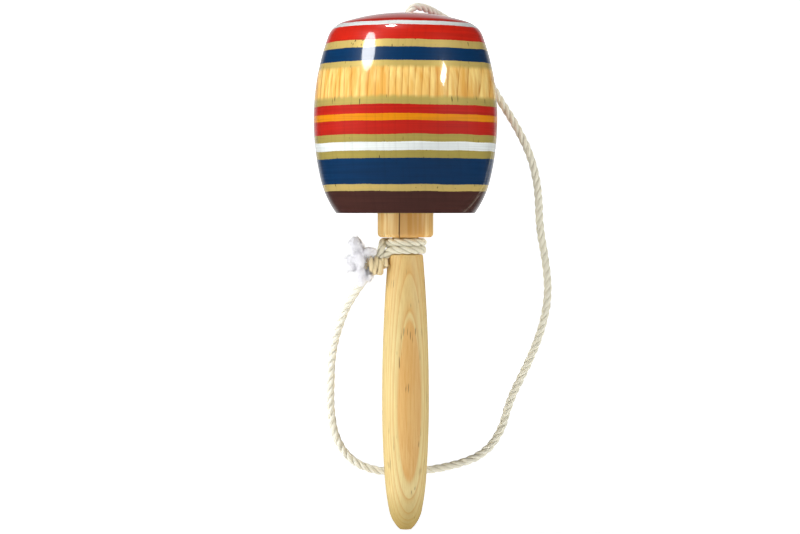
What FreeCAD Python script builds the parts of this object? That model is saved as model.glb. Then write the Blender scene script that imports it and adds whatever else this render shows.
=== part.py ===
"""Cup-and-ball toy: a turned barrel that drops over the peg of a turned stick, with a cord between them.

Millimetres, +Z up along the stick's axis. The origin is the middle of the hand grip.
The barrel is bored from below for the peg, and drilled through its dome for the cord.
The cord starts at a stopper knot in the barrel, leaves through the dome, hangs in a loop
and ends in two turns, a knot and a frayed end on the stick's neck.
"""

import FreeCAD
import Part
import Sketcher
import math
import os

from FreeCAD import Placement, Rotation, Vector

OUT = "parts"

# Driving sizes: alias, value, what it is.
SIZES = [
    ("grip_radius", 9.0, "thickest part of the handle, at the origin"),
    ("grip_to_tip", 49.4, "origin down to the handle's end"),
    ("grip_to_heel", 54.7, "origin up to the lower edge of the neck groove"),
    ("grip_upper_arc", 665.0, "outline radius from the grip up to the heel"),
    ("grip_lower_arc", 423.0, "outline radius from the grip down to the nose"),
    ("nose_length", 19.9, "handle's end up to where the nose begins"),
    ("nose_arc", 101.5, "outline radius of the nose"),
    ("tip_arc", 13.4, "outline radius of the rounded end"),
    ("tip_flat", 2.2, "radius of the flat left by the lathe's centre"),
    ("heel_round", 0.8, "round on the heel's edge"),
    ("neck_radius", 5.0, "bottom of the groove that the cord is tied in"),
    ("neck_turns", 2, "turns of cord in the groove"),
    ("winding_gap", 0.3, "space round the winding"),
    ("peg_radius", 10.65, "peg, and the collar that shows under the barrel"),
    ("peg_shows", 9.2, "peg left showing under the seated barrel"),
    ("peg_seated", 46.0, "peg inside the barrel when it is seated"),
    ("peg_foot_round", 1.5, "round on the peg's lower edge"),
    ("peg_end_round", 3.0, "round on the peg's free end"),
    ("barrel_height", 76.2, "base to the top of the dome"),
    ("belly_radius", 35.0, "widest part of the barrel"),
    ("belly_height", 35.6, "base up to the widest part"),
    ("base_inset", 8.6, "how much smaller the flat base's radius is than the belly's"),
    ("foot_arc", 35.5, "outline radius just above the base"),
    ("lower_arc", 97.0, "outline radius under the belly"),
    ("upper_arc", 92.5, "outline radius over the belly"),
    ("dome_arc", 78.5, "outline radius of the dome"),
    ("shoulder_round", 8.8, "round between the side and the dome"),
    ("base_edge_round", 0.6, "round on the base's outer edge"),
    ("socket_clearance", 0.95, "radial play of the peg in the socket"),
    ("socket_mouth_round", 1.2, "round on the socket's mouth"),
    ("drill_point_angle", 118.0, "full angle of the cone at the socket's end, degrees"),
    ("cord_diameter", 3.2, "twisted cotton cord"),
    ("string_clearance", 1.0, "radial play of the cord in the hole through the dome"),
    ("string_mouth_round", 1.2, "round where the hole meets the dome"),
    ("stopper_overhang", 2.0, "how far the stopper knot's radius passes the hole's"),
    ("stopper_height", 6.4, "the same knot, along the axis"),
    ("stopper_gap", 0.3, "knot to the socket's cone"),
    ("knot_radius", 4.1, "neck knot, across"),
    ("knot_height", 7.6, "neck knot, along the stick"),
    ("knot_gap", 0.3, "neck knot to the handle"),
    ("tuft_radius", 3.4, "frayed end, across"),
    ("tuft_length", 20.6, "frayed end, along the stick"),
    ("tuft_sink", 0.4, "how far the frayed end presses into the knot"),
    ("tuft_lift", 1.2, "middle of the frayed end over the middle of the knot"),
]

# Derived heights, as expressions on the sheet.
PEG_FOOT = "(Sizes.grip_to_heel + Sizes.neck_turns * Sizes.cord_diameter + 3 * Sizes.winding_gap)"
BASE = f"({PEG_FOOT} + Sizes.peg_shows)"
PEG_END = f"({BASE} + Sizes.peg_seated)"
DOME = f"({BASE} + Sizes.barrel_height)"
BELLY = f"({BASE} + Sizes.belly_height)"
BASE_RADIUS = "(Sizes.belly_radius - Sizes.base_inset)"
SOCKET_RADIUS = "(Sizes.peg_radius + Sizes.socket_clearance)"
CONE_SLOPE = "(1 / tan(Sizes.drill_point_angle * 1 deg / 2))"
STRING_HOLE = "(Sizes.cord_diameter / 2 + Sizes.string_clearance)"
STOPPER_RADIUS = f"({STRING_HOLE} + Sizes.stopper_overhang)"
STOPPER_TOP = f"({PEG_END} + Sizes.stopper_height)"
# The cone clears the stopper knot's rounded top edge by about the stopper gap.
CONE_FOOT = (
    f"({STOPPER_TOP} + Sizes.stopper_gap"
    f" - ({SOCKET_RADIUS} - {STOPPER_RADIUS} * 0.75) * {CONE_SLOPE})"
)

# The cord's route from the stopper knot to the neck knot: up through the dome, over the
# shoulder at the back right, down in a loop behind the handle and up on the left.
CORD_ROUTE = [
    (0.0, 0.0, 132.6),
    (0.3, 0.1, 142.4),
    (0.9, 0.4, 150.6),
    (8.4, 4.6, 150.5),
    (15.6, 12.8, 149.3),
    (20.8, 21.8, 146.8),
    (25.2, 25.4, 137.6),
    (30.8, 23.6, 127.0),
    (36.4, 19.0, 116.2),
    (43.0, 15.4, 105.0),
    (48.8, 14.4, 93.0),
    (51.6, 14.6, 79.8),
    (51.8, 14.4, 66.2),
    (54.4, 14.8, 52.6),
    (55.6, 15.4, 38.8),
    (52.6, 16.0, 24.8),
    (47.0, 16.4, 11.4),
    (40.4, 16.6, -1.6),
    (37.4, 16.8, -13.6),
    (30.4, 17.0, -22.8),
    (18.8, 17.0, -27.0),
    (5.4, 16.6, -29.2),
    (-8.0, 15.6, -29.6),
    (-19.8, 13.6, -26.0),
    (-26.8, 11.4, -17.0),
    (-29.0, 9.4, -5.2),
    (-28.8, 7.6, 6.6),
    (-28.2, 6.0, 18.4),
    (-25.0, 3.6, 29.8),
    (-20.6, 1.0, 39.6),
    (-13.5, -1.7, 48.8),
]
ARC_SHARE = 0.45


def new_sheet(doc):
    sheet = doc.addObject("Spreadsheet::Sheet", "Sizes")
    for row, (alias, value, note) in enumerate(SIZES, start=1):
        sheet.set(f"A{row}", alias)
        sheet.set(f"B{row}", str(value))
        sheet.set(f"C{row}", note)
        sheet.setAlias(f"B{row}", alias)
    doc.recompute()
    return sheet


def evaluate(sheet, expression):
    return float(sheet.evalExpression(expression))


def origin_feature(body, role):
    return next(f for f in body.Origin.OriginFeatures if f.Role == role)


def new_body(doc, name):
    body = doc.addObject("PartDesign::Body", name)
    body.Label = name
    return body


def new_sketch(body, name, role="XZ_Plane"):
    sketch = body.newObject("Sketcher::SketchObject", name)
    sketch.AttachmentSupport = [(origin_feature(body, role), "")]
    sketch.MapMode = "FlatFace"
    return sketch


class Outline:
    """A closed half outline in a sketch whose x is the radius and whose y is the height."""

    def __init__(self, sketch):
        self.sketch = sketch
        self.number = 0

    def line(self, start, end):
        segment = Part.LineSegment(Vector(*start, 0), Vector(*end, 0))
        return self.sketch.addGeometry(segment, False)

    def arc(self, centre, radius, start, end):
        """An arc whose start and end are points, turning anticlockwise."""
        first, last = (
            math.atan2(p[1] - centre[1], p[0] - centre[0]) for p in (start, end)
        )
        circle = Part.Circle(Vector(*centre, 0), Vector(0, 0, 1), radius)
        return self.sketch.addGeometry(Part.ArcOfCircle(circle, first, last), False)

    def add(self, *constraint):
        return self.sketch.addConstraint(Sketcher.Constraint(*constraint))

    def join(self, first, second):
        self.add("Coincident", first, 2, second, 1)

    def smooth(self, first, second):
        self.add("Tangent", first, 2, second, 1)

    def size(self, expression, kind, *where):
        """A dimension bound to the sheet. A height or radius is measured from the sketch's origin."""
        value = evaluate(self.sketch.Document.Sizes, expression)
        found = self.add(kind, *where, value)
        name = f"size_{self.number}"
        self.number += 1
        self.sketch.renameConstraint(found, name)
        self.sketch.setExpression(f"Constraints.{name}", expression)

    def height(self, expression, edge, point):
        """The point's height over the origin."""
        self.size(expression, "DistanceY", -1, 1, edge, point)

    def out(self, expression, edge, point):
        """The point's distance from the axis."""
        self.size(expression, "DistanceX", -1, 1, edge, point)

    def on_axis(self, edge, point):
        self.add("PointOnObject", edge, point, -2)


def nested_centre(centre, radius, inner_radius, through):
    """The centre of the arc that starts tangent inside another and ends at a point.

    Of the two such arcs this is the one that bulges away from the axis.
    """
    reach = Part.Circle(Vector(*centre, 0), Vector(0, 0, 1), radius - inner_radius)
    around = Part.Circle(Vector(*through, 0), Vector(0, 0, 1), inner_radius)
    found = max(reach.intersect(around), key=lambda point: point.Y)
    return found.X, found.Y


def along(start, through, distance):
    """The point at that distance from a start, on the line through another point."""
    length = math.dist(start, through)
    return tuple(a + (b - a) * distance / length for a, b in zip(start, through))


def revolve(body, sketch, name, kind="PartDesign::Revolution"):
    feature = body.newObject(kind, name)
    feature.Profile = sketch
    feature.ReferenceAxis = (sketch, ["V_Axis"])
    feature.Angle = 360
    sketch.Document.recompute()
    return feature


def ring_edge(feature, radius, height):
    """The name of the circular edge of that radius at that height."""
    def miss(edge):
        centre = edge.Curve.Center
        return abs(edge.Curve.Radius - radius) + abs(centre.z - height)

    rings = [
        (miss(edge), number)
        for number, edge in enumerate(feature.Shape.Edges, start=1)
        if not edge.Degenerated and isinstance(edge.Curve, Part.Circle)
    ]
    return f"Edge{min(rings)[1]}"


def round_edges(body, name, base, edges, size):
    fillet = body.newObject("PartDesign::Fillet", name)
    fillet.Base = (base, edges)
    fillet.setExpression("Radius", size)
    body.Document.recompute()
    return fillet


def build_stick(doc, sheet):
    """One turning: rounded tip, swelling grip, neck groove and peg."""
    body = new_body(doc, "stick")
    sketch = new_sketch(body, "stick_outline")
    grip, tip = sheet.grip_radius, -sheet.grip_to_tip
    heel, nose = sheet.grip_to_heel, tip + sheet.nose_length
    foot, end = evaluate(sheet, PEG_FOOT), evaluate(sheet, PEG_END)
    low_c, high_c = (grip - sheet.grip_lower_arc, 0), (grip - sheet.grip_upper_arc, 0)
    nose_start = (low_c[0] + math.sqrt(sheet.grip_lower_arc**2 - nose**2), nose)
    heel_r = high_c[0] + math.sqrt(sheet.grip_upper_arc**2 - heel**2)
    nose_c = along(low_c, nose_start, sheet.grip_lower_arc - sheet.nose_arc)
    end_flat = (sheet.tip_flat, tip)
    tip_c = nested_centre(nose_c, sheet.nose_arc, sheet.tip_arc, end_flat)
    tip_start = along(nose_c, tip_c, sheet.nose_arc)

    o = Outline(sketch)
    flat = o.line((0, tip), end_flat)
    tip_edge = o.arc(tip_c, sheet.tip_arc, end_flat, tip_start)
    nose_edge = o.arc(nose_c, sheet.nose_arc, tip_start, nose_start)
    low = o.arc(low_c, sheet.grip_lower_arc, nose_start, (grip, 0))
    high = o.arc(high_c, sheet.grip_upper_arc, (grip, 0), (heel_r, heel))
    ledge = o.line((heel_r, heel), (sheet.neck_radius, heel))
    neck = o.line((sheet.neck_radius, heel), (sheet.neck_radius, foot))
    under = o.line((sheet.neck_radius, foot), (sheet.peg_radius, foot))
    peg = o.line((sheet.peg_radius, foot), (sheet.peg_radius, end))
    top = o.line((sheet.peg_radius, end), (0, end))
    axis = o.line((0, end), (0, tip))
    for pair in ((flat, tip_edge), (high, ledge), (ledge, neck), (neck, under)):
        o.join(*pair)
    for pair in ((under, peg), (peg, top), (top, axis), (axis, flat)):
        o.join(*pair)
    for pair in ((tip_edge, nose_edge), (nose_edge, low), (low, high)):
        o.smooth(*pair)
    for edge in (flat, ledge, under, top):
        o.add("Horizontal", edge)
    for edge in (neck, peg, axis):
        o.add("Vertical", edge)
    o.on_axis(flat, 1)
    o.add("PointOnObject", low, 3, -1)
    o.add("PointOnObject", low, 2, -1)
    o.height("-Sizes.grip_to_tip", flat, 1)
    o.out("Sizes.tip_flat", flat, 2)
    o.height("Sizes.nose_length - Sizes.grip_to_tip", nose_edge, 2)
    o.size("Sizes.tip_arc", "Radius", tip_edge)
    o.size("Sizes.nose_arc", "Radius", nose_edge)
    o.size("Sizes.grip_lower_arc", "Radius", low)
    o.size("Sizes.grip_upper_arc", "Radius", high)
    o.out("Sizes.grip_radius", low, 2)
    o.height("Sizes.grip_to_heel", high, 2)
    o.out("Sizes.neck_radius", neck, 1)
    o.height(PEG_FOOT, under, 2)
    o.out("Sizes.peg_radius", peg, 1)
    o.height(PEG_END, top, 2)

    turned = revolve(body, sketch, "stick_turning")
    heel_edge = ring_edge(turned, heel_r, heel)
    rounded = round_edges(body, "heel_rounding", turned, [heel_edge], "Sizes.heel_round")
    foot_edge = ring_edge(rounded, sheet.peg_radius, foot)
    rounded = round_edges(body, "foot_rounding", rounded, [foot_edge], "Sizes.peg_foot_round")
    end_edge = ring_edge(rounded, sheet.peg_radius, end)
    round_edges(body, "end_rounding", rounded, [end_edge], "Sizes.peg_end_round")
    return body


def build_barrel(doc, sheet):
    """One turning: flat base, belly, domed top, a socket for the peg and a hole for the cord."""
    body = new_body(doc, "barrel")
    sketch = new_sketch(body, "barrel_outline")
    base, dome = evaluate(sheet, BASE), evaluate(sheet, DOME)
    belly, wide = evaluate(sheet, BELLY), sheet.belly_radius
    rim = (evaluate(sheet, BASE_RADIUS), base)
    low_c, high_x = (wide - sheet.lower_arc, belly), wide - sheet.upper_arc
    foot_c = nested_centre(low_c, sheet.lower_arc, sheet.foot_arc, rim)
    foot_end = along(low_c, foot_c, sheet.lower_arc)
    dome_c = dome - sheet.dome_arc
    upper = Part.Circle(Vector(high_x, belly, 0), Vector(0, 0, 1), sheet.upper_arc)
    cap = Part.Circle(Vector(0, dome_c, 0), Vector(0, 0, 1), sheet.dome_arc)
    corner = max(upper.intersect(cap), key=lambda p: p.X)
    corner = (corner.X, corner.Y)

    o = Outline(sketch)
    floor = o.line((0, base), rim)
    foot = o.arc(foot_c, sheet.foot_arc, rim, foot_end)
    low = o.arc(low_c, sheet.lower_arc, foot_end, (wide, belly))
    high = o.arc((high_x, belly), sheet.upper_arc, (wide, belly), corner)
    cap = o.arc((0, dome_c), sheet.dome_arc, corner, (0, dome))
    axis = o.line((0, dome), (0, base))
    for pair in ((floor, foot), (high, cap), (cap, axis), (axis, floor)):
        o.join(*pair)
    for pair in ((foot, low), (low, high)):
        o.smooth(*pair)
    o.add("Horizontal", floor)
    o.add("Vertical", axis)
    o.on_axis(floor, 1)
    o.on_axis(cap, 3)
    o.add("Horizontal", low, 3, low, 2)
    o.height(BASE, floor, 1)
    o.out(BASE_RADIUS, floor, 2)
    o.size("Sizes.foot_arc", "Radius", foot)
    o.size("Sizes.lower_arc", "Radius", low)
    o.size("Sizes.upper_arc", "Radius", high)
    o.size("Sizes.dome_arc", "Radius", cap)
    o.out("Sizes.belly_radius", low, 2)
    o.height(BELLY, low, 2)
    o.height(DOME, axis, 1)

    turned = revolve(body, sketch, "barrel_turning")
    shoulder = ring_edge(turned, *corner)
    rounded = round_edges(body, "shoulder", turned, [shoulder], "Sizes.shoulder_round")
    rim_edge = ring_edge(rounded, *rim)
    rounded = round_edges(body, "base_rounding", rounded, [rim_edge], "Sizes.base_edge_round")
    whole = rounded.Shape.Volume

    socket, foot_z = evaluate(sheet, SOCKET_RADIUS), evaluate(sheet, CONE_FOOT)
    slope = evaluate(sheet, CONE_SLOPE)
    bore = new_sketch(body, "socket_outline")
    o = Outline(bore)
    mouth = o.line((0, base), (socket, base))
    wall = o.line((socket, base), (socket, foot_z))
    cone = o.line((socket, foot_z), (0, foot_z + socket * slope))
    axis = o.line((0, foot_z + socket * slope), (0, base))
    for pair in ((mouth, wall), (wall, cone), (cone, axis), (axis, mouth)):
        o.join(*pair)
    o.add("Horizontal", mouth)
    o.add("Vertical", wall)
    o.add("Vertical", axis)
    o.on_axis(mouth, 1)
    o.height(BASE, mouth, 1)
    o.out(SOCKET_RADIUS, wall, 1)
    o.height(CONE_FOOT, wall, 2)
    o.size("Sizes.drill_point_angle * 1 deg / 2", "Angle", axis, 1, cone, 2)
    bored = revolve(body, bore, "socket", "PartDesign::Groove")
    assert bored.Shape.Volume < whole - 1000, "the socket cut nothing"

    hole = evaluate(sheet, STRING_HOLE)
    circle = new_sketch(body, "string_hole_outline", "XY_Plane")
    ring = Part.Circle(Vector(0, 0, 0), Vector(0, 0, 1), hole)
    edge = circle.addGeometry(ring, False)
    o = Outline(circle)
    o.add("Coincident", edge, 3, -1, 1)
    o.size(STRING_HOLE, "Radius", edge)
    drilled = body.newObject("PartDesign::Pocket", "string_hole")
    drilled.Profile = circle
    drilled.Type = "ThroughAll"
    drilled.Reversed = True
    doc.recompute()
    assert drilled.Shape.Volume < bored.Shape.Volume - 100, "the string hole cut nothing"

    mouth_edge = ring_edge(drilled, socket, base)
    rounded = round_edges(body, "socket_mouth", drilled, [mouth_edge], "Sizes.socket_mouth_round")
    exit_z = dome_c + math.sqrt(sheet.dome_arc**2 - hole**2)
    exit_edge = ring_edge(rounded, hole, exit_z)
    round_edges(body, "string_mouth", rounded, [exit_edge], "Sizes.string_mouth_round")
    return body


def build_ring_body(doc, name, inner, outer, low, high, rounding):
    """A turned ring or, with no inner radius, a disc, with its outer edges rounded."""
    sheet = doc.Sizes
    body = new_body(doc, name)
    sketch = new_sketch(body, f"{name}_outline")
    r0 = evaluate(sheet, inner) if inner else 0.0
    r1, z0, z1 = (evaluate(sheet, e) for e in (outer, low, high))
    o = Outline(sketch)
    sides = [
        o.line((r0, z0), (r1, z0)),
        o.line((r1, z0), (r1, z1)),
        o.line((r1, z1), (r0, z1)),
        o.line((r0, z1), (r0, z0)),
    ]
    for number, side in enumerate(sides):
        o.join(side, sides[(number + 1) % 4])
        o.add("Vertical" if number % 2 else "Horizontal", side)
    if inner:
        o.out(inner, sides[0], 1)
    else:
        o.on_axis(sides[0], 1)
    o.out(outer, sides[1], 1)
    o.height(low, sides[0], 1)
    o.height(high, sides[2], 1)
    turned = revolve(body, sketch, f"{name}_turning")
    edges = [ring_edge(turned, r1, z) for z in (z0, z1)]
    if inner:
        edges += [ring_edge(turned, r0, z) for z in (z0, z1)]
    round_edges(body, f"{name}_rounding", turned, edges, rounding)
    return body


def build_neck_winding(doc):
    """The outer shape of the cord's turns in the neck groove."""
    low = "(Sizes.grip_to_heel + 1.5 * Sizes.winding_gap)"
    return build_ring_body(
        doc,
        "neck_winding",
        "Sizes.neck_radius + Sizes.winding_gap",
        "Sizes.neck_radius + Sizes.winding_gap + Sizes.cord_diameter",
        low,
        f"{low} + Sizes.neck_turns * Sizes.cord_diameter",
        "Sizes.cord_diameter * 0.45",
    )


def build_stopper_knot(doc):
    """The knot that keeps the cord in the barrel. It stands on the peg's end."""
    return build_ring_body(
        doc,
        "stopper_knot",
        None,
        STOPPER_RADIUS,
        PEG_END,
        STOPPER_TOP,
        f"{STOPPER_RADIUS} * 0.45",
    )


def build_neck_knot(doc, sheet):
    """The knot on the left of the handle, under the winding."""
    knot = build_ring_body(
        doc,
        "neck_knot",
        None,
        "Sizes.knot_radius",
        "-Sizes.knot_height / 2",
        "Sizes.knot_height / 2",
        "Sizes.knot_radius * 0.6",
    )
    height = sheet.grip_to_heel - sheet.knot_height / 2 + sheet.winding_gap
    curve = sheet.grip_upper_arc
    handle = sheet.grip_radius - curve + math.sqrt(curve**2 - height**2)
    out = handle + sheet.knot_radius + sheet.knot_gap
    side = math.radians(194)
    knot.Placement.Base = Vector(out * math.cos(side), out * math.sin(side), height)
    return knot


def build_frayed_end(doc, sheet, knot):
    """The outer shape of the cord's loose strands, standing against the knot's left."""
    tuft = build_ring_body(
        doc,
        "frayed_end",
        None,
        "Sizes.tuft_radius",
        "-Sizes.tuft_length / 2",
        "Sizes.tuft_length / 2",
        "Sizes.tuft_radius * 0.8",
    )
    apart = sheet.knot_radius + sheet.tuft_radius - sheet.tuft_sink
    side = math.radians(208)
    shift = Vector(apart * math.cos(side), apart * math.sin(side), sheet.tuft_lift)
    tuft.Placement.Base = knot.Placement.Base + shift
    return tuft


def rounded_wire(points):
    """Straight runs joined by tangent arcs, each as large as its two runs allow."""
    edges, radii, start = [], [], points[0]
    for before, corner, after in zip(points, points[1:], points[2:]):
        back, on = (before - corner), (after - corner)
        cut = ARC_SHARE * min(back.Length, on.Length)
        turn = math.pi - back.getAngle(on)
        radii.append(cut / math.tan(turn / 2))
        first = corner + back.normalize() * cut
        last = corner + on.normalize() * cut
        inward = (back + on).normalize()
        to_centre = math.hypot(radii[-1], cut)
        middle = corner + inward * (to_centre - radii[-1])
        edges.append(Part.LineSegment(start, first).toShape())
        edges.append(Part.Arc(first, middle, last).toShape())
        start = last
    edges.append(Part.LineSegment(start, points[-1]).toShape())
    return Part.Wire(edges), radii


def build_cord_loop(doc, sheet):
    """The cord's free stretch, as a plain tube from the stopper knot to the neck knot."""
    start = Vector(0, 0, evaluate(sheet, STOPPER_TOP))
    points = [start] + [Vector(*p) for p in CORD_ROUTE]
    path, radii = rounded_wire(points)
    radius = sheet.cord_diameter / 2
    ring = Part.Circle(start, points[1] - start, radius)
    section = Part.Wire([ring.toShape()])
    tube = path.makePipeShell([section], True, False)
    expected = math.pi * radius**2 * path.Length
    print(f"cord: {path.Length:.1f} mm long, radii {[round(r, 1) for r in radii]}")
    print(f"cord: volume {tube.Volume:.1f}, section times length {expected:.1f}")
    assert abs(tube.Volume / expected - 1) < 0.01, "the cord's tube has a wrong volume"
    cord = doc.addObject("Part::Feature", "cord_loop")
    cord.Shape = tube
    cord.Placement = Placement()
    return cord


def main():
    doc = FreeCAD.newDocument("cup_and_ball")
    sheet = new_sheet(doc)
    knot = build_neck_knot(doc, sheet)
    pieces = [
        build_stick(doc, sheet),
        build_barrel(doc, sheet),
        build_stopper_knot(doc),
        build_neck_winding(doc),
        knot,
        build_frayed_end(doc, sheet, knot),
        build_cord_loop(doc, sheet),
    ]
    doc.recompute()
    failed = [o.Label for o in doc.Objects if {"Invalid", "Error"} & set(o.State)]
    assert not failed, f"failed objects: {failed}"
    os.makedirs(OUT, exist_ok=True)
    for piece in pieces:
        shape = piece.Shape
        assert not shape.isNull() and shape.isValid(), f"{piece.Label} has no valid shape"
        shape.exportStep(os.path.join(OUT, f"{piece.Label}.step"))
        box = shape.BoundBox
        print(f"{piece.Label}: {len(shape.Solids)} solid, {shape.Volume:.0f} mm3,", end=" ")
        print(f"z {box.ZMin:.2f} to {box.ZMax:.2f}")


main()
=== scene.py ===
# %% [markdown]
# # A cup-and-ball toy
#
# The toy is a turned wooden barrel that stands on the peg of a turned stick, with a cotton cord
# between the two. This lesson builds it piece by piece on a frame of bodies that comes from the
# CAD model. Most lengths are written in millimetres and turned into metres with one factor,
# because wood is turned from sizes in millimetres. The cord's route and the lamps are in metres.

# %% Load the frame
import math
import random

import bmesh
import bpy
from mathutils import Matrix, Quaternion, Vector
from mathutils.kdtree import KDTree
from mathutils.noise import noise as smooth_noise
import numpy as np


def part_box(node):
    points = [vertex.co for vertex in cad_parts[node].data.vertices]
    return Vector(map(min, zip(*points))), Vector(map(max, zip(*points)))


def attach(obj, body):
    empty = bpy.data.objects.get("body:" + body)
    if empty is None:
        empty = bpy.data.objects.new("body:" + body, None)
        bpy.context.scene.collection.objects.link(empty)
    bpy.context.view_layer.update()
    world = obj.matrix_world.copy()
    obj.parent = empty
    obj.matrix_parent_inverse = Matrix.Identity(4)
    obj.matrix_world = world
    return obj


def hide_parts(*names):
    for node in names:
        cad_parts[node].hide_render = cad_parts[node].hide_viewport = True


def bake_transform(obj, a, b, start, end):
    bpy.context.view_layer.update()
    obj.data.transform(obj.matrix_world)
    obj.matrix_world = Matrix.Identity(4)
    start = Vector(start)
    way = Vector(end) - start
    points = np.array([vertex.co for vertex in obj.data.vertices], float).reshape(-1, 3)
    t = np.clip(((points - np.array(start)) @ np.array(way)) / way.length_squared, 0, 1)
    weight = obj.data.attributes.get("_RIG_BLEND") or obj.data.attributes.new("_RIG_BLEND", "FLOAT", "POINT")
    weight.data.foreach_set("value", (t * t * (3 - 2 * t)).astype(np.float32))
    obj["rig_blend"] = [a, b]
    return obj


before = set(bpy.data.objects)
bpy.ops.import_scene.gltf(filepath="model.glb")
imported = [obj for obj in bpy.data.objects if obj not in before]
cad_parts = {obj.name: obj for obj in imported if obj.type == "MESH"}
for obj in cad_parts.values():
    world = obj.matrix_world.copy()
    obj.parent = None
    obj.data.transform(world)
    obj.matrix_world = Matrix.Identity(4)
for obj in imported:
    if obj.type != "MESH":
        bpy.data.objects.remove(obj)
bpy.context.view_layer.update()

MM = 0.001

# %% [markdown]
# ## The camera
#
# The toy was seen level with the barrel's foot, from a little under a metre away, through a long
# lens. A long lens from further off keeps the barrel's sides nearly parallel. The camera looks
# along +Y and very slightly down.

# %% Camera
camera_data = bpy.data.cameras.new("camera")
camera_data.lens, camera_data.sensor_width = 108.0, 36.0
camera_data.clip_start = 0.01
camera = bpy.data.objects.new("camera", camera_data)
bpy.context.scene.collection.objects.link(camera)
camera.location = Vector((-2.1, -915.0, 70.0)) * MM
aim = Vector((-2.1, 0.0, 50.7)) * MM
camera.rotation_euler = (aim - camera.location).to_track_quat("-Z", "Y").to_euler()
bpy.context.scene.camera = camera
print("camera looks", round(math.degrees(camera.rotation_euler.x), 1), "degrees from straight down")

# %% [markdown]
# ## The cord's route
#
# The cord is one smooth line. A NURBS spline of order 3 passes near its control points and never
# kinks, as a limp cord does. The points start at the stopper knot, go up through the dome, over
# the barrel's shoulder, down in a loop behind the handle and up to the knot on its left.

# %% Route of the cord
ROUTE = [
    (0.0000, 0.0000, 0.1236),
    (0.0000, 0.0000, 0.1326),
    (0.0003, 0.0001, 0.1424),
    (0.0018, 0.0010, 0.1502),
    (0.0078, 0.0084, 0.1502),
    (0.0134, 0.0174, 0.1478),
    (0.0192, 0.0240, 0.1452),
    (0.0252, 0.0262, 0.1372),
    (0.0305, 0.0230, 0.1268),
    (0.0362, 0.0188, 0.1160),
    (0.0430, 0.0154, 0.1050),
    (0.0488, 0.0144, 0.0930),
    (0.0516, 0.0146, 0.0798),
    (0.0518, 0.0144, 0.0662),
    (0.0544, 0.0148, 0.0526),
    (0.0556, 0.0154, 0.0388),
    (0.0526, 0.0160, 0.0248),
    (0.0470, 0.0164, 0.0114),
    (0.0404, 0.0166, -0.0016),
    (0.0374, 0.0168, -0.0136),
    (0.0304, 0.0170, -0.0228),
    (0.0188, 0.0170, -0.0270),
    (0.0054, 0.0166, -0.0292),
    (-0.0080, 0.0156, -0.0296),
    (-0.0198, 0.0136, -0.0260),
    (-0.0268, 0.0114, -0.0170),
    (-0.0290, 0.0094, -0.0052),
    (-0.0288, 0.0076, 0.0066),
    (-0.0282, 0.0060, 0.0184),
    (-0.0250, 0.0036, 0.0298),
    (-0.0206, 0.0010, 0.0396),
    (-0.0135, -0.0017, 0.0488),
]


POINTS_PER_SPAN = 16


def smooth_line(name, points):
    """The points that a NURBS spline of order 3 passes through, from its control points."""
    data = bpy.data.curves.new(name, "CURVE")
    data.dimensions = "3D"
    data.resolution_u = POINTS_PER_SPAN
    spline = data.splines.new("NURBS")
    spline.points.add(len(points) - 1)
    for knot, place in zip(spline.points, points):
        knot.co = (*place, 1.0)
    spline.order_u = 3
    spline.use_endpoint_u = True
    guide = bpy.data.objects.new(name, data)
    bpy.context.scene.collection.objects.link(guide)
    mesh = bpy.data.meshes.new_from_object(guide)
    line = [vertex.co.copy() for vertex in mesh.vertices]
    bpy.data.objects.remove(guide)
    bpy.data.meshes.remove(mesh)
    return line


def line_length(line):
    return sum((b - a).length for a, b in zip(line, line[1:]))


cord_line = smooth_line("cord_guide", ROUTE)
print("cord:", len(cord_line), "points,", round(line_length(cord_line) / MM), "mm")

# %% [markdown]
# ## Laying a rope
#
# A cotton cord is three strands twisted round each other. Each strand could be a spiral drawn by
# hand, but it is simpler to walk along the cord's line with a frame that turns steadily, and to
# set each strand's centre a little way out from the line. Blender's own curve bevel then gives
# each strand its round section. The frame is carried along without extra twist, so the lay stays
# even round every bend. A point attribute called groove says how deep a point lies between the
# strands, and another, along, says how far along the cord it is.

# %% Rope maker
STRANDS = 3
STRAND_RADIUS = 0.285  # of the rope's width
STRAND_OUT = 0.232  # from the rope's line to a strand's middle, of its width
UNEVEN = 0.04  # how much a strand's thickness varies
GROOVE_GAIN = 2.2  # so that a groove's floor comes near 1


def evenly(line, step):
    """The same line with its points a fixed step apart."""
    even, left = [line[0].copy()], step
    for a, b in zip(line, line[1:]):
        run = (b - a).length
        place = left
        while run > 0 and place <= run:
            even.append(a.lerp(b, place / run))
            place += step
        left = place - run
    even.append(line[-1].copy())
    return even


def frames_along(line):
    """For each point of a line: the point, and two directions square to it that don't twist."""
    found, side = [], None
    for number, place in enumerate(line):
        after, before = line[min(number + 1, len(line) - 1)], line[max(number - 1, 0)]
        ahead = (after - before).normalized()
        if side is None:
            side = ahead.orthogonal().normalized()
        side = (side - ahead * side.dot(ahead)).normalized()
        found.append((place, side, ahead.cross(side)))
    return found


def tubes(name, lines, radii, detail=3):
    """One mesh of round tubes, each along its own line of points with a radius at each point."""
    data = bpy.data.curves.new(name, "CURVE")
    data.dimensions = "3D"
    data.bevel_depth = 1.0
    data.bevel_resolution = detail
    data.use_fill_caps = True
    for line, widths in zip(lines, radii):
        spline = data.splines.new("POLY")
        spline.points.add(len(line) - 1)
        for knot, place, width in zip(spline.points, line, widths):
            knot.co = (*place, 1.0)
            knot.radius = width
    guide = bpy.data.objects.new(name, data)
    bpy.context.scene.collection.objects.link(guide)
    mesh = bpy.data.meshes.new_from_object(guide)
    bpy.data.objects.remove(guide)
    mesh.name = name
    piece = bpy.data.objects.new(name, mesh)
    bpy.context.scene.collection.objects.link(piece)
    for polygon in mesh.polygons:
        polygon.use_smooth = True
    return piece


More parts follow.
